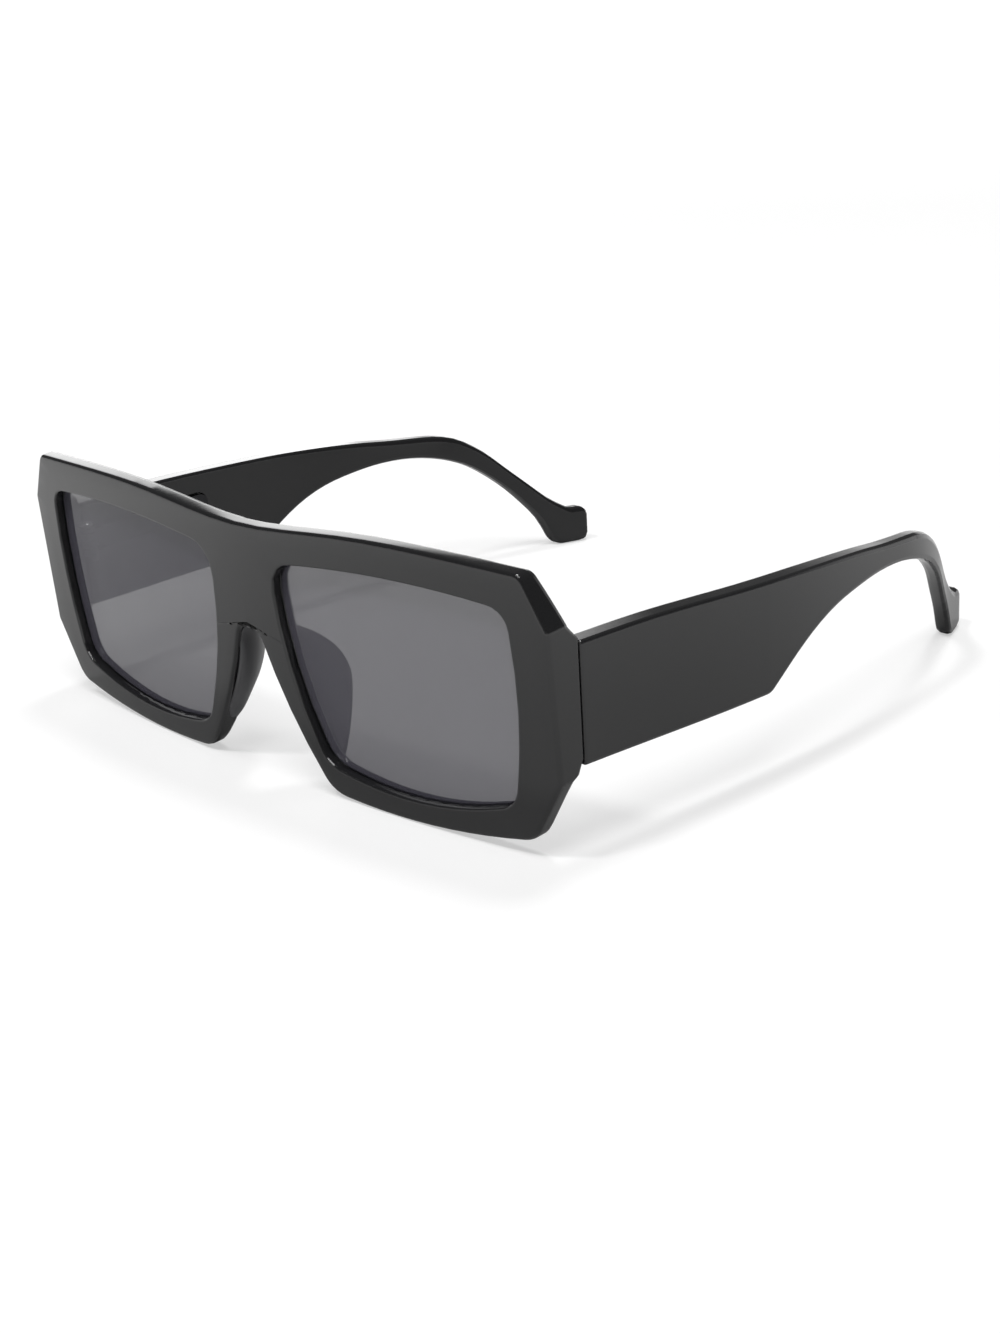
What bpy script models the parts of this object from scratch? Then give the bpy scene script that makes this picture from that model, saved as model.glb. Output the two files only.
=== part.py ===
"""Square black sunglasses: a thick plastic front, two dark lenses and two folding temples.

Metres, +Z up. The glasses stand open on their lower rims and on the feet of the temples, and
the front faces -Y. Left and right are the wearer's, so the left temple is at +X.
The front is drawn flat as (s, h): s runs from the middle outwards, h runs up from the lowest
point of the rims. It is then wrapped and tilted by front_point.
"""

import math

import bmesh
import bpy
import numpy as np
from mathutils import Vector

# Clearances
SEAT_GAP = 0.0003
JOINT_GAP = 0.00035
CUT_OVERRUN = 0.003

# Lens openings of the front, drawn as a box that four bowed sides lean into
LENS_WIDTH = 0.0564
LENS_HEIGHT = 0.0422
BRIDGE_WIDTH = 0.0176
LENS_CORNER_RADII = (0.0060, 0.0045, 0.0060, 0.0075)
# Corners from top nose side round by the temple, as shares of the width and height
LENS_CORNER_SHARES = ((0.003, 0.946), (0.984, 0.970), (0.953, 0.120), (0.155, 0.064))
# Bow of the side after each corner, as a share of that side's length
LENS_BOW_SHARES = (0.031, 0.047, 0.076, 0.068)

# Rims around the openings
RIM_SIDE = 0.0078
RIM_TOP = 0.0071
RIM_BOTTOM = 0.0040
RIM_THICKNESS = 0.0041
BROW_FALL = 0.0017
BRIDGE_DIP = 0.00276
BRIDGE_DIP_REACH = 0.0243
ARCH_HEIGHT = 0.0302
ARCH_RADIUS = 0.0029
NOSE_CORNER_RADIUS = 0.0078
BROW_CORNER_RADIUS = 0.0022
SIDE_CORNER_RADIUS = 0.0014
LOWER_CORNER_RADIUS = 0.0056
# Outer corners as shares of the half width and of the brow height
BROW_CORNER_SHARE = 0.933
SIDE_TOP_SHARE = 0.793
SIDE_FOOT_SHARE = 0.283
LOWER_CORNER_SHARES = (0.907, 0.060)
# Foot of the nose side: shares of the lens width and of the bottom rim
NOSE_FOOT_SHARES = (0.160, 0.212)
# Half width of the arch at its top, as a share of the bridge width
ARCH_SHARE = 0.150
LOWER_BOW_SHARE = 0.038
NOSE_BOW_SHARE = 0.044

# Edge rounding of the front and the groove that holds a lens
FRONT_EDGE_ROUND = 0.0009
BACK_EDGE_ROUND = 0.0014
JOINT_EDGE_ROUND = 0.0004
OPENING_EDGE_ROUND = 0.0004
LENS_SETBACK = 0.0019
LENS_THICKNESS = 0.0013
LENS_BEVEL = 0.0006

# Wrap and tilt of the front
FRONT_WRAP = 0.0052
BRIDGE_TURN = 0.007
BRIDGE_TURN_SHARE = 0.37
FRONT_TILT = math.radians(3.3)

# End pieces, which reach back from the rims to the joints
END_PIECE_DEPTH = 0.0065
END_PIECE_INSET = 0.0032
END_PIECE_SLOPE = 0.0014
END_PIECE_LIP = 0.0009
# Share of the full depth that the upper chamfer has reached where it meets the side
END_PIECE_RISE_SHARE = 0.38

# Temples, as heights above the floor and distances behind the joint
TEMPLE_LENGTH = 0.1347
TEMPLE_TOP = 0.0391
TEMPLE_THICKNESS = 0.0040
TEMPLE_EDGE_ROUND = 0.0006
BUTT_EDGE_ROUND = 0.0003
FOOT_EDGE_ROUND = 0.0012
TEMPLE_BOW_OUT = 0.0024
TEMPLE_TIP_IN = 0.0168
FOOT_HEIGHT = 0.0088
HEEL_RADIUS = 0.0030
ANKLE_RADIUS = 0.0035
TOE_RADIUS = 0.0022
STEP_RADIUS = 0.0035
# Sideways line of the outer face: share of the length, share of the bow or of the tip's turn in
BOW_OUT_SHARE = 0.390
TURN_IN_SHARES = ((0.674, 0.085), (0.757, 0.212), (0.832, 0.415), (0.906, 0.70), (1.0, 1.0))
# Edges seen from the side, as shares of the length and of the top height
TOP_EDGE_SHARES = (
    (0.0, 1.0), (0.138, 0.995), (0.308, 0.962), (0.434, 0.934), (0.566, 0.890),
    (0.638, 0.856), (0.690, 0.836), (0.735, 0.816), (0.772, 0.780), (0.820, 0.676),
    (0.861, 0.540), (0.898, 0.416), (0.932, 0.307), (0.966, 0.231),
)
BLADE_FOOT_SHARES = ((0.0, 0.433), (0.344, 0.410))
UNDER_EDGE_SHARES = (
    (0.344, 0.410), (0.408, 0.555), (0.454, 0.634), (0.500, 0.685), (0.552, 0.714),
    (0.613, 0.730), (0.670, 0.721), (0.720, 0.690), (0.757, 0.651), (0.794, 0.594),
    (0.828, 0.512), (0.861, 0.409), (0.891, 0.291), (0.917, 0.174), (0.941, 0.0),
)

# Hinges: five knuckles on one screw, with a leaf in each end piece and one on each temple
KNUCKLE_RADIUS = 0.0017
KNUCKLE_HEIGHT = 0.0013
KNUCKLE_GAP = 0.00025
KNUCKLE_COUNT = 5
HINGE_BORE_RADIUS = 0.0010
SCREW_RADIUS = 0.0007
SCREW_HEAD_RADIUS = 0.00135
SCREW_HEAD_HEIGHT = 0.0006
SCREW_SLOT_WIDTH = 0.0004
SCREW_SLOT_DEPTH = 0.0003
SCREW_TAIL = 0.0003
FRONT_LEAF_REACH = 0.0046
FRONT_LEAF_THICKNESS = 0.0010
TEMPLE_LEAF_REACH = 0.0340
TEMPLE_LEAF_HEIGHT = 0.0046
TEMPLE_LEAF_PROUD = 0.0007
TEMPLE_LEAF_SUNK = 0.0006
# Height of the hinge on the blade, as a share of the blade's height at the joint
HINGE_HEIGHT_SHARE = 0.64

# Core wire that stiffens each temple
WIRE_WIDTH = 0.0012
WIRE_HEIGHT = 0.0020
WIRE_START = 0.0015
WIRE_END = 0.0150
# Height of the wire between the two edges, at the joint and on the arm
WIRE_HEIGHT_SHARES = (0.36, 0.5)

# Nose pads, which wrap the nose side of the rims and stand off their backs
PAD_NEAREST = 0.0017
PAD_FOOT = 0.0031
PAD_START = 0.0015
PAD_WRAP = 0.0003
PAD_BULGE = 0.0012
PAD_PROUD = 0.0073
PAD_SPREAD = 0.0057
PAD_ROOT_SHARE = 0.72
# Profile of a pad from its top to its foot: share of the way down, share of the full reach
PAD_PROFILE_SHARES = (
    (0.0, 0.08), (0.05, 0.20), (0.10, 0.38), (0.18, 0.71), (0.27, 0.91), (0.36, 1.0), (0.47, 1.0),
    (0.58, 0.84), (0.71, 0.61), (0.80, 0.42), (0.87, 0.27), (0.94, 0.11), (1.0, 0.03),
)
# Section of a pad, as shares of its wrap, of its depth over the wall, its spread and its reach
PAD_SECTION_SHARES = (
    (-0.55, 0.12, 0.0, 0.0), (-0.92, 0.45, 0.0, 0.0), (-1.0, 1.0, 0.0, 0.0), (-0.8, 1.0, 0.22, 0.38),
    (-0.3, 1.0, 0.56, 0.76), (0.0, 1.0, 0.84, 0.96), (0.0, 1.0, 1.12, 1.0), (0.0, 1.0, 1.44, 0.90),
    (0.0, 1.0, 1.56, 0.66), (0.0, 1.0, 1.36, 0.30),
)

# Sampling
EDGE_STEPS = 11
CORNER_STEPS = 4
ROUND_SIDES = 20
LEAST_ANGLE = math.radians(1.9)

BLACK = (0.012, 0.012, 0.013, 1.0)
SMOKE = (0.10, 0.10, 0.105, 0.55)
HINGE_STEEL = (0.035, 0.035, 0.037, 1.0)
SCREW_STEEL = (0.42, 0.42, 0.43, 1.0)

HALF_WIDTH = BRIDGE_WIDTH / 2 + LENS_WIDTH + RIM_SIDE
BROW_HEIGHT = RIM_BOTTOM + LENS_HEIGHT + RIM_TOP


def clear_scene():
    for item in list(bpy.data.objects):
        bpy.data.objects.remove(item, do_unlink=True)


def material(name, colour, roughness, metallic=0.0):
    made = bpy.data.materials.new(name)
    made.use_nodes = True
    shader = made.node_tree.nodes["Principled BSDF"]
    shader.inputs["Base Color"].default_value = colour
    shader.inputs["Roughness"].default_value = roughness
    shader.inputs["Metallic"].default_value = metallic
    shader.inputs["Alpha"].default_value = colour[3]
    made.diffuse_color = colour
    return made


def add_piece(name, shape, finish, parent, side=1):
    """An object from a bmesh drawn for the left side; side -1 mirrors it to the right."""
    bmesh.ops.remove_doubles(shape, verts=shape.verts, dist=SEAT_GAP / 1000)
    if side < 0:
        for vert in shape.verts:
            vert.co.x = -vert.co.x
    bmesh.ops.recalc_face_normals(shape, faces=shape.faces)
    if shape.calc_volume(signed=True) < 0:
        bmesh.ops.reverse_faces(shape, faces=shape.faces)
    for vert in shape.verts:
        vert.co -= parent.location
    mesh = bpy.data.meshes.new(name)
    shape.to_mesh(mesh)
    shape.free()
    mesh.materials.append(finish)
    mesh.shade_smooth()
    mesh.set_sharp_from_angle(angle=math.radians(35))
    piece = bpy.data.objects.new(name, mesh)
    bpy.context.scene.collection.objects.link(piece)
    piece.parent = parent
    return piece


def add_empty(name, place, parent=None):
    empty = bpy.data.objects.new(name, None)
    empty.location = place
    empty.parent = parent
    bpy.context.scene.collection.objects.link(empty)
    return empty


def combine(piece, tool, operation):
    """Cuts a helper from a piece, or joins it to the piece, with a live Boolean."""
    tool.hide_render = True
    tool.display_type = "WIRE"
    change = piece.modifiers.new(tool.name, "BOOLEAN")
    change.operation = operation
    change.object = tool
    change.solver = "EXACT"


def unit(vector):
    return vector / np.linalg.norm(vector)


def bowed_side(start, end, bow_share):
    """Points along a side that bows out to the left of its direction, as a parabola."""
    start, end = np.array(start), np.array(end)
    along = np.linspace(0, 1, 4 * EDGE_STEPS)[:, None]
    left = np.array((start[1] - end[1], end[0] - start[0]))
    return start + (end - start) * along + 4 * along * (1 - along) * left * bow_share


def smooth_line(points, count=8 * EDGE_STEPS):
    """A smooth line through the points, with its knots a chord apart."""
    points = np.array(points, float)
    knots = np.append(0, np.cumsum(np.linalg.norm(np.diff(points, axis=0), axis=1)))
    rise = np.diff(points, axis=0) / np.diff(knots)[:, None]
    slope = np.vstack([rise[:1], (rise[:-1] + rise[1:]) / 2, rise[-1:]])
    places = np.linspace(0, knots[-1], count)
    part = np.clip(np.searchsorted(knots, places, "right") - 1, 0, len(rise) - 1)
    span = (knots[part + 1] - knots[part])[:, None]
    t = (places[:, None] - knots[part][:, None]) / span
    start, end = points[part], points[part + 1]
    return (
        start * (1 + 2 * t) * (1 - t) ** 2
        + slope[part] * span * t * (1 - t) ** 2
        + end * t**2 * (3 - 2 * t)
        + slope[part + 1] * span * t**2 * (t - 1)
    )


def resampled(line, count, start=0.0, end=0.0):
    """The line at count even places, without its first start and last end metres."""
    run = np.append(0, np.cumsum(np.linalg.norm(np.diff(line, axis=0), axis=1)))
    places = np.linspace(start, run[-1] - end, count)
    return np.stack([np.interp(places, run, line[:, axis]) for axis in (0, 1)], axis=1)


def corner_reach(before, after, radius):
    into, out = unit(before[-1] - before[-2]), unit(after[1] - after[0])
    turn = math.acos(np.clip(into @ out, -1, 1))
    return radius * math.tan(turn / 2), turn


def corner_arc(start, into, end, out, radius, turn, count):
    """Points of an arc from start to end, without the two ends."""
    handle = 4 / 3 * math.tan(turn / 4) * radius
    t = np.linspace(0, 1, count + 2)[1:-1, None]
    near, far = start + into * handle, end - out * handle
    return (
        start * (1 - t) ** 3 + 3 * near * t * (1 - t) ** 2 + 3 * far * t**2 * (1 - t) + end * t**3
    )


def rounded_chain(sides, radii, counts, closed):
    """Joins sides end to end with arcs. radii[i] rounds the end of side i."""
    number = len(sides)
    turns = []
    for i, radius in enumerate(radii):
        turns.append(corner_reach(sides[i], sides[(i + 1) % number], radius))
    trimmed = []
    for i, side in enumerate(sides):
        start = turns[i - 1][0] if i or closed else 0
        end = turns[i][0] if i < len(turns) else 0
        trimmed.append(resampled(side, counts[i], start, end))
    chain = []
    for i, side in enumerate(trimmed):
        chain.append(side)
        if i < len(turns):
            after = trimmed[(i + 1) % number]
            into, out = unit(side[-1] - side[-2]), unit(after[1] - after[0])
            chain.append(corner_arc(side[-1], into, after[0], out, radii[i], turns[i][1], CORNER_STEPS))
    return np.vstack(chain)


def left_normals(line, closed):
    """The unit normal to the left of the line at each of its points."""
    if closed:
        ahead, behind = np.roll(line, -1, axis=0), np.roll(line, 1, axis=0)
    else:
        ahead = np.vstack([line[1:], line[-1:]])
        behind = np.vstack([line[:1], line[:-1]])
    along = ahead - behind
    along /= np.linalg.norm(along, axis=1)[:, None]
    return np.stack([-along[:, 1], along[:, 0]], axis=1)


def brow_height(s):
    fall = BROW_FALL * (s / HALF_WIDTH) ** 2
    return BROW_HEIGHT - fall - BRIDGE_DIP * np.exp(-((s / BRIDGE_DIP_REACH) ** 2))


def front_wrap(s):
    """How far the face of the front lies behind its middle at s."""
    turn = math.hypot(s, BRIDGE_TURN) - BRIDGE_TURN
    most = math.hypot(HALF_WIDTH, BRIDGE_TURN) - BRIDGE_TURN
    bend = (1 - BRIDGE_TURN_SHARE) * (s / HALF_WIDTH) ** 2
    return FRONT_WRAP * (bend + BRIDGE_TURN_SHARE * turn / most)


def front_point(s, h, depth):
    back = front_wrap(s) + depth
    y = back * math.cos(FRONT_TILT) - h * math.sin(FRONT_TILT)
    z = h * math.cos(FRONT_TILT) + back * math.sin(FRONT_TILT)
    return Vector((s, y, z))


def lens_opening():
    """The outline of the left lens opening, from the top of the nose side over the brow."""
    corners = [
        (BRIDGE_WIDTH / 2 + across * LENS_WIDTH, RIM_BOTTOM + up * LENS_HEIGHT)
        for across, up in LENS_CORNER_SHARES
    ]
    sides = [
        bowed_side(corners[i], corners[(i + 1) % len(corners)], bow)
        for i, bow in enumerate(LENS_BOW_SHARES)
    ]
    radii = LENS_CORNER_RADII[1:] + LENS_CORNER_RADII[:1]
    counts = (EDGE_STEPS, EDGE_STEPS // 2, EDGE_STEPS, EDGE_STEPS // 2)
    return rounded_chain(sides, radii, counts, closed=True)


def front_outline():
    """The left half of the front's outline, from the middle of the brow round to the arch."""
    brow_end = BROW_CORNER_SHARE * HALF_WIDTH
    across = np.linspace(0, brow_end, 4 * EDGE_STEPS)
    brow = np.stack([across, brow_height(across)], axis=1)
    side_top = (HALF_WIDTH, SIDE_TOP_SHARE * BROW_HEIGHT)
    side_foot = (HALF_WIDTH, SIDE_FOOT_SHARE * BROW_HEIGHT)
    lower = (LOWER_CORNER_SHARES[0] * HALF_WIDTH, LOWER_CORNER_SHARES[1] * BROW_HEIGHT)
    nose_foot = (
        BRIDGE_WIDTH / 2 + NOSE_FOOT_SHARES[0] * LENS_WIDTH,
        NOSE_FOOT_SHARES[1] * RIM_BOTTOM,
    )
    arch_end = (ARCH_SHARE * BRIDGE_WIDTH, ARCH_HEIGHT)
    sides = [
        brow,
        bowed_side(brow[-1], side_top, 0),
        bowed_side(side_top, side_foot, 0),
        bowed_side(side_foot, lower, 0),
        bowed_side(lower, nose_foot, LOWER_BOW_SHARE),
        bowed_side(nose_foot, arch_end, NOSE_BOW_SHARE),
        bowed_side(arch_end, (0, ARCH_HEIGHT), 0),
    ]
    radii = (
        BROW_CORNER_RADIUS,
        SIDE_CORNER_RADIUS,
        SIDE_CORNER_RADIUS,
        LOWER_CORNER_RADIUS,
        NOSE_CORNER_RADIUS,
        ARCH_RADIUS,
    )
    counts = (EDGE_STEPS, 4, EDGE_STEPS, 4, EDGE_STEPS, EDGE_STEPS // 2, 2)
    return rounded_chain(sides, radii, counts, closed=False)


def around(line, centre, angles):
    """Points and left normals of a closed line where rays from the centre cross it."""
    normals = left_normals(line, closed=True)
    bearing = np.unwrap(np.arctan2(*(line - centre).T[::-1]))[::-1]
    line, normals = line[::-1], normals[::-1]
    full = 2 * math.pi
    bearing = np.concatenate([bearing - full, bearing, bearing + full])
    line, normals = np.tile(line, (3, 1)), np.tile(normals, (3, 1))
    points = np.stack([np.interp(angles, bearing, line[:, axis]) for axis in (0, 1)], axis=1)
    along = np.stack([np.interp(angles, bearing, normals[:, axis]) for axis in (0, 1)], axis=1)
    return points, along / np.linalg.norm(along, axis=1)[:, None]


class Rim:
    """One half of the front in matched rays: opening points, outer points and their normals."""

    def __init__(self):
        opening, outline = lens_opening(), front_outline()
        self.centre = np.array((BRIDGE_WIDTH / 2 + LENS_WIDTH / 2, RIM_BOTTOM + LENS_HEIGHT / 2))
        middle = np.linspace(outline[-1], outline[0], 6)[1:-1]
        loop = np.vstack([outline, middle])
        wanted = [math.atan2(*(point - self.centre)[::-1]) for point in loop]
        kept = list(wanted)
        for point in opening:
            angle = math.atan2(*(point - self.centre)[::-1])
            if all(abs(math.remainder(angle - other, 2 * math.pi)) > LEAST_ANGLE for other in kept):
                kept.append(angle)
        start = wanted[0]
        # Clockwise from the middle of the brow
        self.angles = np.array(sorted(kept, key=lambda a: (start - a) % (2 * math.pi)))
        self.outer, self.outward = around(loop, self.centre, self.angles)
        self.inner, self.inward = around(opening, self.centre, self.angles)
        full = 2 * math.pi
        arch = (start - wanted[len(outline) - 1]) % full
        count = int(np.sum((start - self.angles) % full <= arch + LEAST_ANGLE / 1000))
        self.outline_count = count
        self.outer[0], self.outer[count - 1] = outline[0], outline[-1]
        self.outer[count:, 0] = 0
        self.outward[0], self.outward[count - 1] = (0, 1), (0, -1)
        self.outward[count:] = 0


def ramp(value, low, high):
    return min(max((value - low) / (high - low), 0), 1)


def joint_plane():
    middle = (SIDE_TOP_SHARE + SIDE_FOOT_SHARE) / 2 * BROW_HEIGHT
    return front_point(HALF_WIDTH, middle, 0).y + END_PIECE_DEPTH


def floor_height():
    outline = front_outline()
    return min(front_point(s, h, FRONT_EDGE_ROUND).z for s, h in outline)


def end_piece_share(s, h):
    """0 on the rim, and 1 where an end piece has its full depth."""
    height = front_point(s, h, RIM_THICKNESS).z - LOWEST
    foot = BLADE_FOOT_SHARES[0][1] * TEMPLE_TOP
    corner = brow_height(BROW_CORNER_SHARE * HALF_WIDTH)
    heights = (
        foot - 2 * END_PIECE_LIP, foot - END_PIECE_LIP / 3, TEMPLE_TOP + END_PIECE_LIP,
        SIDE_TOP_SHARE * BROW_HEIGHT, corner,
    )
    share = np.interp(height, heights, (0, 1, 1, END_PIECE_RISE_SHARE, 0))
    full = BRIDGE_WIDTH / 2 + LENS_WIDTH + END_PIECE_INSET
    return float(share) * ramp(s, full - END_PIECE_SLOPE, full)


def back_depth(s, h):
    """Depth of the back of the front: the rim's thickness, or more in an end piece."""
    reach = (JOINT_PLANE + h * math.sin(FRONT_TILT)) / math.cos(FRONT_TILT) - front_wrap(s)
    return RIM_THICKNESS + end_piece_share(s, h) * max(reach - RIM_THICKNESS, 0)


def back_round(s, h):
    """Rounding of the back's outer edge: small at the joints and under the nose pads."""
    nose = ramp(s, LENS_WIDTH, NOSE_FOOT_SHARES[0] * LENS_WIDTH + BRIDGE_WIDTH)
    under_pad = nose * ramp(h, PAD_FOOT, 2 * PAD_FOOT) * ramp(h, ARCH_HEIGHT + PAD_FOOT, ARCH_HEIGHT)
    small = max(under_pad, end_piece_share(s, h))
    return BACK_EDGE_ROUND + (JOINT_EDGE_ROUND - BACK_EDGE_ROUND) * small


def strip(shape, rows, closed):
    """Bridges rows of vertices with quads, from each row to the next."""
    for row, after in zip(rows, rows[1:]):
        last = len(row) if closed else len(row) - 1
        for i in range(last):
            j = (i + 1) % len(row)
            corners = [row[i], row[j], after[j], after[i]]
            unique = [v for k, v in enumerate(corners) if v not in corners[:k]]
            if len(unique) > 2:
                shape.faces.new(unique)


def quarter_round(radius, steps):
    """(sideways, depth) pairs of a quarter arc that starts square to the face."""
    turns = [math.pi / 2 * i / steps for i in range(steps + 1)]
    return [(radius * (1 - math.sin(t)), radius * (1 - math.cos(t))) for t in turns]


def front_half(shape, rim, side):
    """Half of the front as rings that run round the opening, then over the outer edge."""

    def row(points, depths):
        places = [front_point(s, h, d) for (s, h), d in zip(points, depths)]
        return [shape.verts.new((place.x * side, place.y, place.z)) for place in places]

    count = rim.outline_count
    # Groove, opening edge and flat of the face, from the opening outwards
    deep = LENS_SETBACK + LENS_THICKNESS / 2
    groove_half = LENS_THICKNESS / 2 + SEAT_GAP
    groove_depth = LENS_BEVEL + SEAT_GAP
    face = []
    for sideways, depth in quarter_round(OPENING_EDGE_ROUND, 2)[::-1]:
        face.append(row(rim.inner + rim.inward * sideways, [depth] * len(rim.inner)))
    flat_inner = rim.inner + rim.inward * OPENING_EDGE_ROUND
    flat_outer = rim.outer - rim.outward * FRONT_EDGE_ROUND
    for share in (0.5, 1.0):
        face.append(row(flat_inner + (flat_outer - flat_inner) * share, [0] * len(flat_inner)))
    strip(shape, face, closed=True)

    back = []
    for sideways, depth in quarter_round(OPENING_EDGE_ROUND, 1)[::-1]:
        points = rim.inner + rim.inward * sideways
        back.append(row(points, [back_depth(*p) - depth for p in points]))
    back_inner = rim.inner + rim.inward * OPENING_EDGE_ROUND
    rounds = np.array([back_round(*p) for p in rim.outer])
    back_outer = rim.outer - rim.outward * rounds[:, None]
    for share in (0.28, 0.5, 1.0):
        points = back_inner + (back_outer - back_inner) * share
        back.append(row(points, [back_depth(*p) for p in points]))
    strip(shape, back, closed=True)

    wall = [face[0]]
    for sideways, depth in ((0, deep - groove_half), (groove_depth, deep), (0, deep + groove_half)):
        wall.append(row(rim.inner + rim.inward * sideways, [depth] * len(rim.inner)))
    wall.append(back[0])
    strip(shape, wall, closed=True)

    edge = [face[-1][:count]]
    outer, outward = rim.outer[:count], rim.outward[:count]
    for sideways, depth in quarter_round(FRONT_EDGE_ROUND, 3)[1:]:
        edge.append(row(outer - outward * sideways, [depth] * count))
    for turn in (0, math.pi / 4):
        points = outer - outward * (rounds[:count] * (1 - math.cos(turn)))[:, None]
        depths = [back_depth(*p) - r * (1 - math.sin(turn)) for p, r in zip(points, rounds)]
        edge.append(row(points, depths))
    edge.append(back[-1][:count])
    strip(shape, edge, closed=False)


def front_shape(rim):
    shape = bmesh.new()
    for side in (1, -1):
        front_half(shape, rim, side)
    bmesh.ops.remove_doubles(shape, verts=shape.verts, dist=SEAT_GAP / 1000)
    return shape


def lens_shape(rim):
    """A lens with a bevelled edge that sits in the rim's groove."""
    shape = bmesh.new()
    inset = rim.inner - rim.inward * SEAT_GAP
    tip = rim.inner + rim.inward * LENS_BEVEL
    front, back = LENS_SETBACK, LENS_SETBACK + LENS_THICKNESS

    def ring(points, depth):
        return [shape.verts.new(front_point(s, h, depth)) for s, h in points]

    rows = []
    for share in (0.5, 1.0):
        rows.append(ring(rim.centre + (inset - rim.centre) * share, front))
    rows.append(ring(tip, (front + back) / 2))
    for share in (1.0, 0.5):
        rows.append(ring(rim.centre + (inset - rim.centre) * share, back))
    strip(shape, rows, closed=True)
    for ring_row, depth in ((rows[0], front), (rows[-1], back)):
        middle = shape.verts.new(front_point(*rim.centre, depth))
        for i, vert in enumerate(ring_row):
            shape.faces.new((vert, ring_row[(i + 1) % len(ring_row)], middle))
    return shape


def pad_line():
    """The nose side of the outline that a pad follows, from the arch down."""
    line = front_outline()[::-1]
    foot = BRIDGE_WIDTH / 2 + NOSE_FOOT_SHARES[0] * LENS_WIDTH
    kept = (line[:, 0] > PAD_NEAREST) & (line[:, 0] < foot) & (line[:, 1] > PAD_FOOT)
    return resampled(line[kept & (line[:, 1] < ARCH_HEIGHT)], EDGE_STEPS)


def pad_shape():
    """A nose pad that wraps the nose side of the rim and stands off its back as a fin."""
    shape = bmesh.new()
    line = pad_line()
    inwards = left_normals(line, closed=False)
    profile = smooth_line(PAD_PROFILE_SHARES)
    root = RIM_THICKNESS + SEAT_GAP
    rows = []
    for i, (foot, inward) in enumerate(zip(line, inwards)):
        reach = float(np.interp(i / (len(line) - 1), profile[:, 0], profile[:, 1]))
        wrap = PAD_WRAP + PAD_BULGE * reach**3
        spread, proud = PAD_SPREAD * math.sqrt(reach), PAD_PROUD * reach
        section = [(-SEAT_GAP, PAD_START)]
        for wrapped, over, across, back in PAD_SECTION_SHARES:
            sideways = wrapped * wrap - SEAT_GAP + across * spread
            section.append((sideways, PAD_START + over * (root - PAD_START) + back * proud))
        section += [(PAD_ROOT_SHARE * spread, root), (-SEAT_GAP, root)]
        rows.append([
            shape.verts.new(front_point(*(foot + inward * sideways), depth))
            for sideways, depth in section
        ])
    strip(shape, rows, closed=True)
    shape.faces.new(rows[0])
    shape.faces.new(rows[-1])
    return shape


def temple_place(share_point):
    """A point of a temple's side view from its shares."""
    along, up = share_point
    return (JOINT_PLANE + JOINT_GAP + along * TEMPLE_LENGTH, LOWEST + up * TEMPLE_TOP)


def temple_edges():
    """The top and under edges of a temple in matched points, from the joint to the toe."""
    start = JOINT_PLANE + JOINT_GAP
    floor = LOWEST
    end = start + TEMPLE_LENGTH
    top = smooth_line([temple_place(p) for p in TOP_EDGE_SHARES])
    step = temple_place(BLADE_FOOT_SHARES[1])
    split = int(np.argmin(abs(top[:, 0] - step[0])))
    ankle = (top[-1][0], floor + FOOT_HEIGHT)
    toe_top = (end, floor + FOOT_HEIGHT)
    toe = (end, floor)
    toe_middle = (end, floor + FOOT_HEIGHT / 2)
    top_arm = np.vstack([top[split:-1], ankle])
    blade_foot = bowed_side(temple_place(BLADE_FOOT_SHARES[0]), step, 0)
    under = smooth_line([temple_place(p) for p in UNDER_EDGE_SHARES])
    heel = tuple(under[-1])
    counts = (9, 34, 4, 3)
    upper = rounded_chain(
        [top[: split + 1], top_arm, bowed_side(ankle, toe_top, 0), bowed_side(toe_top, toe_middle, 0)],
        (0, ANKLE_RADIUS, TOE_RADIUS), counts, closed=False,
    )
    lower = rounded_chain(
        [blade_foot, under, bowed_side(heel, toe, 0), bowed_side(toe, toe_middle, 0)],
        (STEP_RADIUS, HEEL_RADIUS, TOE_RADIUS), counts, closed=False,
    )
    return upper[:-2], lower[:-2]


def outer_face(y):
    """x of a temple's outer face at y."""
    points = [(0, 0), (BOW_OUT_SHARE * TEMPLE_LENGTH, TEMPLE_BOW_OUT)]
    points += [(along * TEMPLE_LENGTH, -turn * TEMPLE_TIP_IN) for along, turn in TURN_IN_SHARES]
    line = smooth_line(points)
    return HALF_WIDTH + float(np.interp(y - JOINT_PLANE, line[:, 0], line[:, 1]))


def bar_section(low, high, width, rounding, steps):
    """A ring of (sideways, y, z) round a bar between two points of its side view."""
    low, high = np.array(low), np.array(high)
    height = np.linalg.norm(high - low)
    along = (high - low) / height
    rounding = min(rounding, 0.45 * height, 0.45 * width)
    quarter = quarter_round(rounding, steps)
    half = width / 2
    ring = []
    for side, up in ((1, 1), (1, -1), (-1, -1), (-1, 1)):
        arc = quarter if side * up > 0 else quarter[::-1]
        for across, down in arc:
            place = (high if up > 0 else low) - along * up * down
            ring.append((side * (half - across), place[0], place[1]))
    return ring


def bar_shape(lows, highs, widths, roundings, steps):
    """A bar lofted through sections, in the middle of the temple's thickness."""
    shape = bmesh.new()
    rows = []
    for low, high, width, rounding in zip(lows, highs, widths, roundings):
        ring = bar_section(low, high, width, rounding, steps)
        rows.append([
            shape.verts.new((outer_face(y) - TEMPLE_THICKNESS / 2 + across, y, z))
            for across, y, z in ring
        ])
    strip(shape, rows, closed=True)
    shape.faces.new(rows[0])
    shape.faces.new(rows[-1])
    return shape


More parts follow.
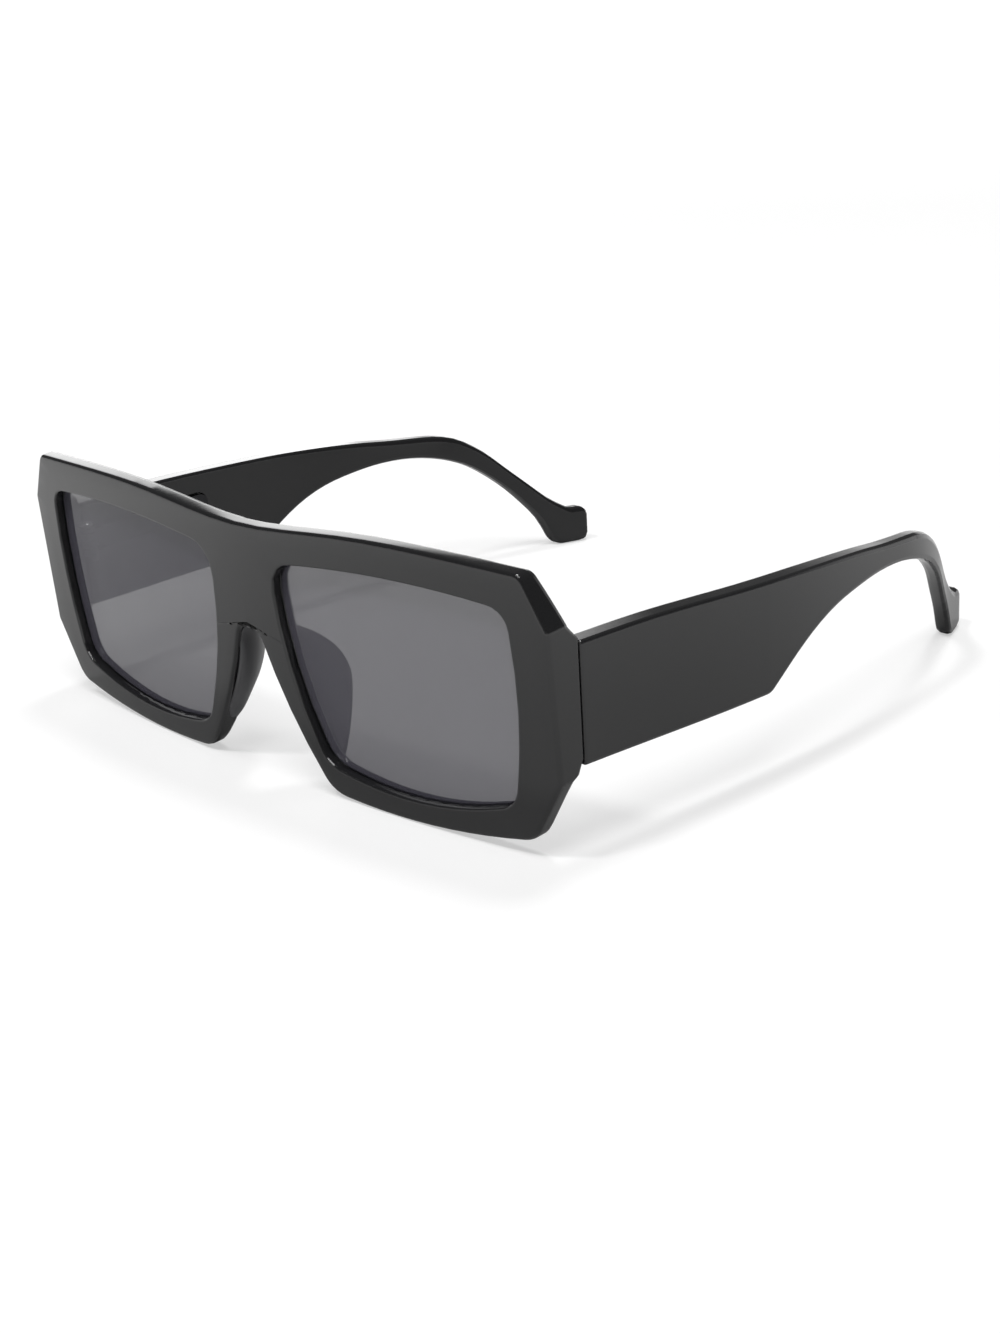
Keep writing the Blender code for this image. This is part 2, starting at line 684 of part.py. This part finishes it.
def temple_shape():
    upper, lower = temple_edges()
    span = upper[-1][0] - upper[0][0]
    along = [(top[0] - upper[0][0]) / span for top in upper]
    rounding = FOOT_EDGE_ROUND - TEMPLE_EDGE_ROUND
    rounds = [TEMPLE_EDGE_ROUND + rounding * ramp(share, 0.4, 0.8) for share in along]
    # The toe is rounded in plan too
    nears = [1 - min((upper[-1][0] - top[0]) / FOOT_EDGE_ROUND, 1) for top in upper]
    widths = [
        TEMPLE_THICKNESS - 2 * FOOT_EDGE_ROUND * (1 - math.sqrt(1 - near**2)) for near in nears
    ]
    # The butt end has its own small round
    lift, inset = np.array((0, BUTT_EDGE_ROUND)), np.array((BUTT_EDGE_ROUND, 0))
    lows = [lower[0] + lift, lower[0] + inset] + list(lower[1:])
    highs = [upper[0] - lift, upper[0] + inset] + list(upper[1:])
    widths = [TEMPLE_THICKNESS - 2 * BUTT_EDGE_ROUND] + widths
    rounds = rounds[:1] + rounds
    return bar_shape(lows, highs, widths, rounds, 2)


def wire_shape(clearance, start):
    """The core wire, or with a clearance the channel that it lies in."""
    upper, lower = temple_edges()
    run = np.append(0, np.cumsum(np.linalg.norm(np.diff((upper + lower) / 2, axis=0), axis=1)))
    keep = run[-1] - WIRE_END
    lows, highs = [], []
    for i in range(0, len(run), 2):
        if run[i] > keep:
            break
        blade = ramp(run[i], 0, keep / 2)
        share = WIRE_HEIGHT_SHARES[0] + (WIRE_HEIGHT_SHARES[1] - WIRE_HEIGHT_SHARES[0]) * blade
        middle = lower[i] + (upper[i] - lower[i]) * share
        along = unit(upper[i] - lower[i])
        if i == 0:
            middle = middle + (start, 0)
        half = WIRE_HEIGHT / 2 + clearance
        lows.append(middle - along * half)
        highs.append(middle + along * half)
    if clearance:
        step = unit(highs[-1] - highs[-2]) * clearance
        lows.append(lows[-1] + step)
        highs.append(highs[-1] + step)
    widths = [WIRE_WIDTH + 2 * clearance] * len(lows)
    rounds = [WIRE_WIDTH / 4] * len(lows)
    return bar_shape(lows, highs, widths, rounds, 1)


def hinge_place():
    """The hinge axis: x, y and the height of its middle."""
    x = HALF_WIDTH - TEMPLE_THICKNESS - KNUCKLE_RADIUS - JOINT_GAP
    foot = BLADE_FOOT_SHARES[0][1] * TEMPLE_TOP
    z = LOWEST + foot + HINGE_HEIGHT_SHARE * (TEMPLE_TOP - foot)
    return Vector((x, JOINT_PLANE, z))


def hinge_height():
    return KNUCKLE_COUNT * KNUCKLE_HEIGHT + (KNUCKLE_COUNT - 1) * KNUCKLE_GAP


def box_shape(low, high):
    shape = bmesh.new()
    bmesh.ops.create_cube(shape, size=1)
    for vert in shape.verts:
        for axis in range(3):
            vert.co[axis] = high[axis] if vert.co[axis] > 0 else low[axis]
    return shape


def drum_shape(centre, radius, low, high, sides=ROUND_SIDES):
    """An upright cylinder between two heights."""
    shape = bmesh.new()
    bmesh.ops.create_cone(
        shape, cap_ends=True, segments=sides, radius1=radius, radius2=radius, depth=high - low
    )
    for vert in shape.verts:
        vert.co += Vector((centre.x, centre.y, (low + high) / 2))
    return shape


def knuckle_spans(first):
    """Low and high of every second knuckle, counted from the bottom."""
    base = hinge_place().z - hinge_height() / 2
    pitch = KNUCKLE_HEIGHT + KNUCKLE_GAP
    feet = [base + i * pitch for i in range(first, KNUCKLE_COUNT, 2)]
    return [(foot, foot + KNUCKLE_HEIGHT) for foot in feet]


def leaf_stations(low_y, high_y, half):
    """Places along the temple's leaf, which ends in a half round."""
    straight = np.linspace(low_y, high_y - half, 8)
    bend = [math.pi / 2 * i / 6 for i in range(1, 6)]
    places = [(y, half) for y in straight]
    return places + [(high_y - half + half * math.sin(t), half * math.cos(t)) for t in bend]


def temple_leaf_shape(clearance):
    """The leaf on a temple's inner face, or with a clearance the recess that it lies in."""
    axis = hinge_place()
    low_y = axis.y + KNUCKLE_RADIUS + SEAT_GAP
    high_y = axis.y + TEMPLE_LEAF_REACH
    if clearance:
        low_y -= CUT_OVERRUN
        high_y += clearance
    half = TEMPLE_LEAF_HEIGHT / 2 + clearance
    inner = -TEMPLE_LEAF_PROUD - (CUT_OVERRUN if clearance else 0)
    outer = TEMPLE_LEAF_SUNK + clearance
    shape = bmesh.new()
    rows = []
    for y, reach in leaf_stations(low_y, high_y, half):
        face = outer_face(y) - TEMPLE_THICKNESS
        rows.append([
            shape.verts.new((face + inner, y, axis.z - reach)),
            shape.verts.new((face + inner, y, axis.z + reach)),
            shape.verts.new((face + outer, y, axis.z + reach)),
            shape.verts.new((face + outer, y, axis.z - reach)),
        ])
    strip(shape, rows, closed=True)
    shape.faces.new(rows[0])
    shape.faces.new(rows[-1])
    return shape


def helper(name, shape, parent, side):
    return add_piece(name, shape, HINGE_METAL, parent, side)


def front_hinge(side, parent):
    """The leaf that lies in the end piece, with the first, third and fifth knuckles."""
    axis, height = hinge_place(), hinge_height()
    low, high = axis.z - height / 2, axis.z + height / 2
    back = JOINT_PLANE - JOINT_GAP / 2
    leaf = box_shape(
        (axis.x + KNUCKLE_RADIUS * 0.5, back - FRONT_LEAF_THICKNESS, low),
        (axis.x + FRONT_LEAF_REACH, back, high),
    )
    name = f"{SIDE_NAMES[side]}_front_hinge"
    piece = add_piece(name, leaf, HINGE_METAL, parent, side)
    for i, (foot, top) in enumerate(knuckle_spans(0)):
        drum = drum_shape(axis, KNUCKLE_RADIUS, foot, top)
        combine(piece, helper(f"{name}_knuckle_{i}", drum, parent, side), "UNION")
    for i, (foot, top) in enumerate(knuckle_spans(1)):
        room = drum_shape(axis, KNUCKLE_RADIUS + KNUCKLE_GAP, foot - KNUCKLE_GAP, top + KNUCKLE_GAP)
        combine(piece, helper(f"{name}_room_{i}", room, parent, side), "DIFFERENCE")
    bore = drum_shape(axis, HINGE_BORE_RADIUS, low - CUT_OVERRUN, high + CUT_OVERRUN)
    combine(piece, helper(f"{name}_bore", bore, parent, side), "DIFFERENCE")
    return piece


def temple_hinge(side, parent):
    """The leaf on the temple, with the second and fourth knuckles."""
    axis, height = hinge_place(), hinge_height()
    name = f"{SIDE_NAMES[side]}_temple_hinge"
    piece = add_piece(name, temple_leaf_shape(0), HINGE_METAL, parent, side)
    inner = outer_face(axis.y) - TEMPLE_THICKNESS - TEMPLE_LEAF_PROUD
    for i, (foot, top) in enumerate(knuckle_spans(1)):
        drum = drum_shape(axis, KNUCKLE_RADIUS, foot, top)
        arm = box_shape(
            (axis.x, axis.y, foot),
            (inner + TEMPLE_LEAF_PROUD * 0.8, axis.y + KNUCKLE_RADIUS + 4 * SEAT_GAP, top),
        )
        combine(piece, helper(f"{name}_knuckle_{i}", drum, parent, side), "UNION")
        combine(piece, helper(f"{name}_arm_{i}", arm, parent, side), "UNION")
    bore = drum_shape(axis, HINGE_BORE_RADIUS, axis.z - height, axis.z + height)
    combine(piece, helper(f"{name}_bore", bore, parent, side), "DIFFERENCE")
    return piece


def hinge_screw(side, parent):
    """The screw through all knuckles, with a slotted head on top."""
    axis, height = hinge_place(), hinge_height()
    low, high = axis.z - height / 2 - SCREW_TAIL, axis.z + height / 2 + SEAT_GAP / 2
    name = f"{SIDE_NAMES[side]}_hinge_screw"
    top = high + SCREW_HEAD_HEIGHT
    profile = (
        (0, top), (SCREW_HEAD_RADIUS * 0.75, top), (SCREW_HEAD_RADIUS, top - SCREW_HEAD_HEIGHT / 3),
        (SCREW_HEAD_RADIUS, high), (SCREW_RADIUS, high), (SCREW_RADIUS, low), (0, low),
    )
    shape = bmesh.new()
    verts = [shape.verts.new((axis.x + r, axis.y, z)) for r, z in profile]
    edges = [shape.edges.new(pair) for pair in zip(verts, verts[1:])]
    bmesh.ops.spin(
        shape, geom=verts + edges, cent=axis, axis=(0, 0, 1), angle=2 * math.pi,
        steps=ROUND_SIDES, use_merge=True,
    )
    bmesh.ops.remove_doubles(shape, verts=shape.verts, dist=SEAT_GAP / 100)
    piece = add_piece(name, shape, SCREW_METAL, parent, side)
    across, along = SCREW_HEAD_RADIUS + CUT_OVERRUN, SCREW_SLOT_WIDTH / 2
    slot = box_shape(
        (axis.x - across, axis.y - along, top - SCREW_SLOT_DEPTH),
        (axis.x + across, axis.y + along, top + CUT_OVERRUN),
    )
    combine(piece, helper(f"{name}_slot", slot, parent, side), "DIFFERENCE")
    return piece


def cut_end_piece(front, side, parent):
    """Makes room in the end piece for the hinge's barrel and for its front leaf."""
    axis, height = hinge_place(), hinge_height()
    low, high = axis.z - height / 2 - SEAT_GAP, axis.z + height / 2 + SEAT_GAP
    back = JOINT_PLANE - JOINT_GAP / 2
    leaf = box_shape(
        (axis.x, back - FRONT_LEAF_THICKNESS - SEAT_GAP, low),
        (axis.x + FRONT_LEAF_REACH + SEAT_GAP, back + CUT_OVERRUN, high),
    )
    head = high + 3 * SCREW_HEAD_HEIGHT
    room = drum_shape(axis, KNUCKLE_RADIUS + SEAT_GAP, low - SCREW_TAIL - SEAT_GAP, head)
    combine(front, helper(f"front_leaf_recess_{side}", leaf, parent, side), "DIFFERENCE")
    combine(front, helper(f"front_barrel_room_{side}", room, parent, side), "DIFFERENCE")


def temple(side, parent):
    name = f"{SIDE_NAMES[side]}_temple"
    piece = add_piece(name, temple_shape(), PLASTIC, parent, side)
    recess = helper(f"{name}_leaf_recess", temple_leaf_shape(SEAT_GAP), parent, side)
    channel = helper(f"{name}_channel", wire_shape(SEAT_GAP, -CUT_OVERRUN), parent, side)
    combine(piece, recess, "DIFFERENCE")
    combine(piece, channel, "DIFFERENCE")
    return piece


def stand_on_origin(root):
    """Moves the whole part so that the origin is the middle of its box's base."""
    bpy.context.view_layer.update()
    graph = bpy.context.evaluated_depsgraph_get()
    low, high = np.full(3, np.inf), np.full(3, -np.inf)
    for item in bpy.data.objects:
        if item.type != "MESH" or item.hide_render:
            continue
        mesh = item.evaluated_get(graph).to_mesh()
        points = np.array([item.matrix_world @ vert.co for vert in mesh.vertices])
        low, high = np.minimum(low, points.min(axis=0)), np.maximum(high, points.max(axis=0))
    root.location = (-(low[0] + high[0]) / 2, -(low[1] + high[1]) / 2, -low[2])


clear_scene()
SIDE_NAMES = {1: "left", -1: "right"}
PLASTIC = material("black_plastic", BLACK, 0.12)
LENS_TINT = material("smoke_lens", SMOKE, 0.05)
HINGE_METAL = material("blackened_steel", HINGE_STEEL, 0.35, 1.0)
SCREW_METAL = material("bright_steel", SCREW_STEEL, 0.3, 1.0)
LOWEST = floor_height()
JOINT_PLANE = joint_plane()

sunglasses = add_empty("sunglasses", (0, 0, 0))
half_rim = Rim()
front_frame = add_piece("front_frame", front_shape(half_rim), PLASTIC, sunglasses)
for hand in (1, -1):
    word = SIDE_NAMES[hand]
    place = hinge_place()
    pivot = add_empty(f"{word}_hinge_axis", (place.x * hand, place.y, place.z), sunglasses)
    add_piece(f"{word}_lens", lens_shape(half_rim), LENS_TINT, sunglasses, hand)
    add_piece(f"{word}_nose_pad", pad_shape(), PLASTIC, sunglasses, hand)
    cut_end_piece(front_frame, hand, sunglasses)
    front_hinge(hand, sunglasses)
    hinge_screw(hand, sunglasses)
    temple_hinge(hand, pivot)
    temple(hand, pivot)
    add_piece(f"{word}_core_wire", wire_shape(0, WIRE_START), SCREW_METAL, pivot, hand)
stand_on_origin(sunglasses)
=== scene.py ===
"""Looks of the square black sunglasses: polished plastic, smoke lenses and a soft pale studio."""

import math

import bpy
from mathutils import Matrix, Vector
from mathutils.bvhtree import BVHTree


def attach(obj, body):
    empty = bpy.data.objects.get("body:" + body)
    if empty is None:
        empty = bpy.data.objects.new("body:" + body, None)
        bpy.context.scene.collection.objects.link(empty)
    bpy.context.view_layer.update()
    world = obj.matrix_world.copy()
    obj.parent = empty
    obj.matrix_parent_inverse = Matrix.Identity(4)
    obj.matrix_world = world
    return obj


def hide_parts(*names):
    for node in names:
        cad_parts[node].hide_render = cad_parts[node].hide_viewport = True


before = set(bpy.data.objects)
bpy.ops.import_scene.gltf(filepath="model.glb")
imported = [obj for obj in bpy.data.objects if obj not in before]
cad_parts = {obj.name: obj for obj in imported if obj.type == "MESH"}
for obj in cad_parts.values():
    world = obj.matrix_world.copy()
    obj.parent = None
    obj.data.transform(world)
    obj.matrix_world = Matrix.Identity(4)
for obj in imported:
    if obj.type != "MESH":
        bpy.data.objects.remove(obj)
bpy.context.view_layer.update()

# Lengths are in metres and angles in radians, unless a comment says otherwise.

# The camera, solved together with the part's proportions
CAMERA_PLACE = Vector((0.308456, -0.304419, 0.160369))
CAMERA_TURN = 0.8076
CAMERA_RISE = 0.3531
CAMERA_ROLL = -0.0604
CLIP_START = 0.01
# In millimetres
LENS_LENGTH = 79.30
SENSOR_WIDTH = 36.0

# The sky: sines of the heights where it starts to dim and where it is dimmest, and its least
HORIZON_TOP = 0.05
DIM_FROM = 0.22
OVERHEAD = 0.10
# A broad white screen behind and to the left: direction, cosines of its edges and strength
SCREEN_AT = (-0.80, 0.54, 0.25)
SCREEN_EDGES = (0.968, 0.988)
SCREEN_STRENGTH = 2.6
# Lamps: place, width and power in watts
LAMPS = (
    ((-0.29, -1.80, 3.6), 0.5, 50.0),
    ((-0.29, 0.94, 3.6), 0.7, 38.0),
    ((1.08, -1.0, 3.6), 1.8, 80.0),
)

# The floor: its tone, its tones in a gloss near the glasses and away from them, the distances
# between which those change, its own light for the camera, and the distances between which
# that light rises to white. The darker gloss tone near the glasses is painted shade round them,
# seen only in the reflections on the plastic
FLOOR_SIZE = 8
FLOOR_ROUGHNESS = 0.8
FLOOR_TONE = 0.45
FLOOR_GLOSS_WITH_PAINTED_SHADE = (0.48, 1.0)
PAINTED_SHADE_RINGS = (0.08, 0.215)
FLOOR_GLOW = 0.51
FLOOR_FADE = (0.6, 2.6)
WHITE = (1, 1, 1, 1)

# Noises: scale, detail and roughness
MOTTLE = (60, 3, 0.5)
SMEAR = (220, 4, 0.6)
RIPPLE = (900, 2, 0.5)
HAZE = (35, 2, 0.5)
GRAIN = (2500, 3, 0.5)
# The grain of metal is drawn out along Y
GRAIN_STRETCH = (1, 0.08, 1)

# Black plastics: tone and range of roughness
GLOSS_TONE, GLOSS_ROUGHNESS = 0.010, (0.06, 0.11)
SATIN_TONE, SATIN_ROUGHNESS = 0.055, (0.36, 0.44)
# Their darkest and lightest tints, in red, green and blue, as multiples of the tone
DARK_TINT = (1.0, 1.0, 1.05)
LIGHT_TINT = (1.5, 1.5, 1.6)
PLASTIC_IOR = 1.46
COAT_WEIGHT = 0.15
COAT_ROUGHNESS = 0.04
RIPPLE_STRENGTH = 0.02
RIPPLE_HEIGHT = 0.0002
# Radius of the polish on every edge of the plastic, and how many rays find the edges
EDGE_SOFTNESS = 0.00035
EDGE_SAMPLES = 6

LENS_TINT = (0.104, 0.100, 0.125, 1)
LENS_ALPHA = 0.675
LENS_IOR = 1.5
LENS_ROUGHNESS = (0.03, 0.06)

# Metals: colour and range of roughness
HINGE_TINT, HINGE_ROUGHNESS = (0.035, 0.035, 0.037, 1), (0.26, 0.40)
SCREW_TINT, SCREW_ROUGHNESS = (0.42, 0.42, 0.43, 1), (0.24, 0.36)

# Points of a mesh that are nearer than this are one point
MERGE_DISTANCE = 0.000001
# Facets that meet at less than this angle are shaded as one curve
FACET_ANGLE = math.radians(14)

# Moulded nose pads: how deep their edges run into the rim, how near to it a point is drawn in,
# the length of the tapers at their ends and how much farther those reach
PAD_SINK = 0.00030
PAD_NEAR = (0.00035, 0.0012)
PAD_TAPER = 0.0050
PAD_END_REACH = 0.0012
# The front's tilt, where a pad's front edge and its root lie along it, and how far that edge
# comes forward
FRONT_TILT = 0.0577
PAD_EDGES = (-0.0690, -0.0668)
PAD_FORWARD = 0.0009
# Two triangles join into one quad up to this bend and this skew
QUAD_BEND = 1.2
QUAD_SKEW = 1.6
PAD_SUBDIVISIONS = 2

# The solids that get a polished copy, with the body that each rides
MOULDINGS = {"front_frame": "front", "left_temple": "left_temple", "right_temple": "right_temple"}
PAD_NODES = ("left_nose_pad", "right_nose_pad")
# The solids that are shown as they are
LENS_NODES = ("left_lens", "right_lens")
HINGE_NODES = ("left_front_hinge", "right_front_hinge", "left_temple_hinge", "right_temple_hinge")
STEEL_NODES = ("left_hinge_screw", "right_hinge_screw", "left_core_wire", "right_core_wire")


def new_material(name):
    made = bpy.data.materials.new(name)
    made.use_nodes = True
    nodes, links = made.node_tree.nodes, made.node_tree.links
    return made, nodes, links, nodes["Principled BSDF"]


def noise(nodes, links, place, kind):
    node = nodes.new("ShaderNodeTexNoise")
    for name, value in zip(("Scale", "Detail", "Roughness"), kind):
        node.inputs[name].default_value = value
    links.new(place, node.inputs["Vector"])
    return node.outputs["Fac"]


def spread(nodes, links, value, target, source=(0.0, 1.0), curve="LINEAR"):
    """A value carried over from the source range to the target range and held inside it."""
    node = nodes.new("ShaderNodeMapRange")
    node.interpolation_type = curve
    node.inputs["From Min"].default_value, node.inputs["From Max"].default_value = source
    node.inputs["To Min"].default_value, node.inputs["To Max"].default_value = target
    links.new(value, node.inputs["Value"])
    return node.outputs["Result"]


def combined(nodes, links, operation, first, second):
    """Two values put together by one operation."""
    node = nodes.new("ShaderNodeMath")
    node.operation = operation
    links.new(first, node.inputs[0])
    links.new(second, node.inputs[1])
    return node.outputs["Value"]


def ray_kind(nodes, kind):
    """1 for rays of one kind and 0 for others."""
    return nodes.new("ShaderNodeLightPath").outputs[kind]


def place_on(nodes, kind="Object"):
    return nodes.new("ShaderNodeTexCoord").outputs[kind]


def black_plastic(name, depth, roughness):
    """Deep black injection-moulded plastic with soft edges and the faintest ripple."""
    made, nodes, links, shader = new_material(name)
    place = place_on(nodes)
    ramp = nodes.new("ShaderNodeMix")
    ramp.data_type = "RGBA"
    ramp.inputs["A"].default_value = (*(depth * share for share in DARK_TINT), 1)
    ramp.inputs["B"].default_value = (*(depth * share for share in LIGHT_TINT), 1)
    links.new(noise(nodes, links, place, MOTTLE), ramp.inputs["Factor"])
    links.new(ramp.outputs["Result"], shader.inputs["Base Color"])
    smear = noise(nodes, links, place, SMEAR)
    links.new(spread(nodes, links, smear, roughness), shader.inputs["Roughness"])
    edge = nodes.new("ShaderNodeBevel")
    edge.samples = EDGE_SAMPLES
    edge.inputs["Radius"].default_value = EDGE_SOFTNESS
    bump = nodes.new("ShaderNodeBump")
    bump.inputs["Strength"].default_value = RIPPLE_STRENGTH
    bump.inputs["Distance"].default_value = RIPPLE_HEIGHT
    links.new(edge.outputs["Normal"], bump.inputs["Normal"])
    links.new(noise(nodes, links, place, RIPPLE), bump.inputs["Height"])
    links.new(bump.outputs["Normal"], shader.inputs["Normal"])
    shader.inputs["IOR"].default_value = PLASTIC_IOR
    shader.inputs["Coat Weight"].default_value = COAT_WEIGHT
    shader.inputs["Coat Roughness"].default_value = COAT_ROUGHNESS
    return made


def smoke_lens():
    """Grey tinted lens plastic that lets about a third of the light through."""
    made, nodes, links, shader = new_material("smoke_lens_plastic")
    haze = noise(nodes, links, place_on(nodes), HAZE)
    shader.inputs["Base Color"].default_value = LENS_TINT
    shader.inputs["Alpha"].default_value = LENS_ALPHA
    shader.inputs["IOR"].default_value = LENS_IOR
    links.new(spread(nodes, links, haze, LENS_ROUGHNESS), shader.inputs["Roughness"])
    return made


def brushed_metal(name, colour, roughness):
    """Metal whose fine grain runs along the part."""
    made, nodes, links, shader = new_material(name)
    stretch = nodes.new("ShaderNodeMapping")
    stretch.inputs["Scale"].default_value = GRAIN_STRETCH
    links.new(place_on(nodes), stretch.inputs["Vector"])
    grain = noise(nodes, links, stretch.outputs["Vector"], GRAIN)
    shader.inputs["Base Color"].default_value = colour
    shader.inputs["Metallic"].default_value = 1
    links.new(spread(nodes, links, grain, roughness), shader.inputs["Roughness"])
    return made


def dress(names, finish):
    for name in names:
        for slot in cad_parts[name].material_slots:
            slot.material = finish


def smooth_step(value, low, high):
    share = min(max((value - low) / (high - low), 0.0), 1.0)
    return share * share * (3 - 2 * share)


def apply_last(piece):
    bpy.ops.object.modifier_apply(modifier=piece.modifiers[-1].name)


def merged_copy(node, name, finish):
    """A copy of a solid's mesh with its facets joined, selected and active."""
    piece = bpy.data.objects.new(name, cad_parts[node].data.copy())
    bpy.context.collection.objects.link(piece)
    bpy.ops.object.select_all(action="DESELECT")
    piece.select_set(True)
    bpy.context.view_layer.objects.active = piece
    bpy.ops.object.mode_set(mode="EDIT")
    bpy.ops.mesh.select_all(action="SELECT")
    bpy.ops.mesh.remove_doubles(threshold=MERGE_DISTANCE)
    bpy.ops.object.mode_set(mode="OBJECT")
    piece.data.materials.clear()
    piece.data.materials.append(finish)
    return piece


def polished(node, body, finish):
    """A moulding whose facets run together into smooth, polished curves."""
    piece = merged_copy(node, f"{node}_polished", finish)
    bpy.ops.object.shade_smooth_by_angle(angle=FACET_ANGLE)
    bpy.ops.object.modifier_add(type="WEIGHTED_NORMAL")
    piece.modifiers[-1].keep_sharp = True
    apply_last(piece)
    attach(piece, body)
    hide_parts(node)


def moulded_pad(node, finish):
    """A nose pad as one moulding with its rim: its edges run into the wall and its ends die out."""
    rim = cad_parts["front_frame"].data
    wall = BVHTree.FromPolygons([v.co for v in rim.vertices], [f.vertices for f in rim.polygons])
    piece = merged_copy(node, f"{node}_moulded", finish)
    bpy.ops.object.mode_set(mode="EDIT")
    bpy.ops.mesh.select_all(action="SELECT")
    bpy.ops.mesh.tris_convert_to_quads(face_threshold=QUAD_BEND, shape_threshold=QUAD_SKEW)
    bpy.ops.object.mode_set(mode="OBJECT")
    heights = [v.co.z for v in piece.data.vertices]
    low, high = min(heights), max(heights)
    for vertex in piece.data.vertices:
        place = vertex.co.copy()
        lean = place.y + FRONT_TILT * place.z
        place.y -= PAD_FORWARD * (1 - smooth_step(lean, *PAD_EDGES))
        nearest, _, _, gap = wall.find_nearest(place)
        end = 1 - smooth_step(min(place.z - low, high - place.z), 0, PAD_TAPER)
        reach = PAD_END_REACH * end
        drawn = 1 - smooth_step(gap, PAD_NEAR[0] + reach, PAD_NEAR[1] + reach)
        towards = (nearest - place).normalized()
        vertex.co = place + towards * (min(gap, PAD_NEAR[0] + reach) + PAD_SINK) * drawn
    bpy.ops.object.modifier_add(type="SUBSURF")
    piece.modifiers[-1].levels = piece.modifiers[-1].render_levels = PAD_SUBDIVISIONS
    apply_last(piece)
    bpy.ops.object.shade_smooth()
    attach(piece, "front")
    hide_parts(node)


def pale_floor():
    """A plain floor that looks white from afar, and in the gloss of the plastic is greyer near the
    glasses: painted shade round them that shows only in reflections.
    """
    bpy.ops.object.select_all(action="DESELECT")
    bpy.ops.mesh.primitive_plane_add(size=FLOOR_SIZE, location=(0, 0, 0))
    floor = bpy.context.object
    floor.name = "studio_floor"
    made, nodes, links, shader = new_material("pale_floor")
    away = nodes.new("ShaderNodeVectorMath")
    away.operation = "LENGTH"
    links.new(place_on(nodes), away.inputs[0])
    distance = away.outputs["Value"]
    # Painted shade: rays from a gloss see the floor darker near the glasses, as if shaded there,
    # and lighter away from them
    tone_with_painted_shade = nodes.new("ShaderNodeMix")
    tone_with_painted_shade.inputs["A"].default_value = FLOOR_TONE
    links.new(ray_kind(nodes, "Is Glossy Ray"), tone_with_painted_shade.inputs["Factor"])
    links.new(spread(nodes, links, distance, FLOOR_GLOSS_WITH_PAINTED_SHADE, PAINTED_SHADE_RINGS), tone_with_painted_shade.inputs["B"])
    links.new(tone_with_painted_shade.outputs["Result"], shader.inputs["Base Color"])
    shader.inputs["Roughness"].default_value = FLOOR_ROUGHNESS
    shader.inputs["Emission Color"].default_value = WHITE
    rise = spread(nodes, links, distance, (FLOOR_GLOW, 1.0), FLOOR_FADE)
    glow = combined(nodes, links, "MULTIPLY", rise, ray_kind(nodes, "Is Camera Ray"))
    links.new(glow, shader.inputs["Emission Strength"])
    floor.data.materials.append(made)


def soft_sky():
    """Pale round the horizon, dimmer overhead, and white where the camera looks."""
    world = bpy.data.worlds.new("studio_world")
    bpy.context.scene.world = world
    world.use_nodes = True
    nodes, links = world.node_tree.nodes, world.node_tree.links
    aim = place_on(nodes, "Generated")
    split = nodes.new("ShaderNodeSeparateXYZ")
    links.new(aim, split.inputs["Vector"])
    height = spread(
        nodes, links, split.outputs["Z"], (1.0, OVERHEAD), (HORIZON_TOP, DIM_FROM), "SMOOTHSTEP"
    )
    nearness = nodes.new("ShaderNodeVectorMath")
    nearness.operation = "DOT_PRODUCT"
    links.new(aim, nearness.inputs[0])
    nearness.inputs[1].default_value = Vector(SCREEN_AT).normalized()
    screen = spread(
        nodes, links, nearness.outputs["Value"], (0.0, SCREEN_STRENGTH), SCREEN_EDGES, "SMOOTHSTEP"
    )
    both = combined(nodes, links, "ADD", height, screen)
    seen = combined(nodes, links, "MAXIMUM", both, ray_kind(nodes, "Is Camera Ray"))
    sky = nodes["Background"]
    sky.inputs["Color"].default_value = WHITE
    links.new(seen, sky.inputs["Strength"])


def lamps():
    for place, size, power in LAMPS:
        bpy.ops.object.light_add(type="AREA", location=place)
        lamp = bpy.context.object
        lamp.data.shape = "DISK"
        lamp.data.size = size
        lamp.data.energy = power
        lamp.rotation_euler = (-Vector(place)).to_track_quat("-Z", "Y").to_euler()


def camera():
    turn, rise, roll = CAMERA_TURN, CAMERA_RISE, CAMERA_ROLL
    level = math.cos(rise)
    back = Vector((math.sin(turn) * level, -math.cos(turn) * level, math.sin(rise)))
    right = Vector((math.cos(turn), math.sin(turn), 0))
    up = back.cross(right)
    across = right * math.cos(roll) + up * math.sin(roll)
    upward = up * math.cos(roll) - right * math.sin(roll)
    bpy.ops.object.camera_add(location=CAMERA_PLACE)
    made = bpy.context.object
    made.rotation_euler = Matrix((across, upward, back)).transposed().to_euler()
    made.data.sensor_width = SENSOR_WIDTH
    made.data.sensor_fit = "HORIZONTAL"
    made.data.lens = LENS_LENGTH
    made.data.clip_start = CLIP_START
    bpy.context.scene.camera = made


gloss = black_plastic("polished_black_plastic", GLOSS_TONE, GLOSS_ROUGHNESS)
for moulding, ridden in MOULDINGS.items():
    polished(moulding, ridden, gloss)
satin = black_plastic("satin_black_plastic", SATIN_TONE, SATIN_ROUGHNESS)
for pad_node in PAD_NODES:
    moulded_pad(pad_node, satin)
dress(LENS_NODES, smoke_lens())
dress(HINGE_NODES, brushed_metal("blackened_hinge_steel", HINGE_TINT, HINGE_ROUGHNESS))
dress(STEEL_NODES, brushed_metal("bright_screw_steel", SCREW_TINT, SCREW_ROUGHNESS))
pale_floor()
soft_sky()
lamps()
camera()
bpy.context.scene.view_settings.view_transform = "Standard"
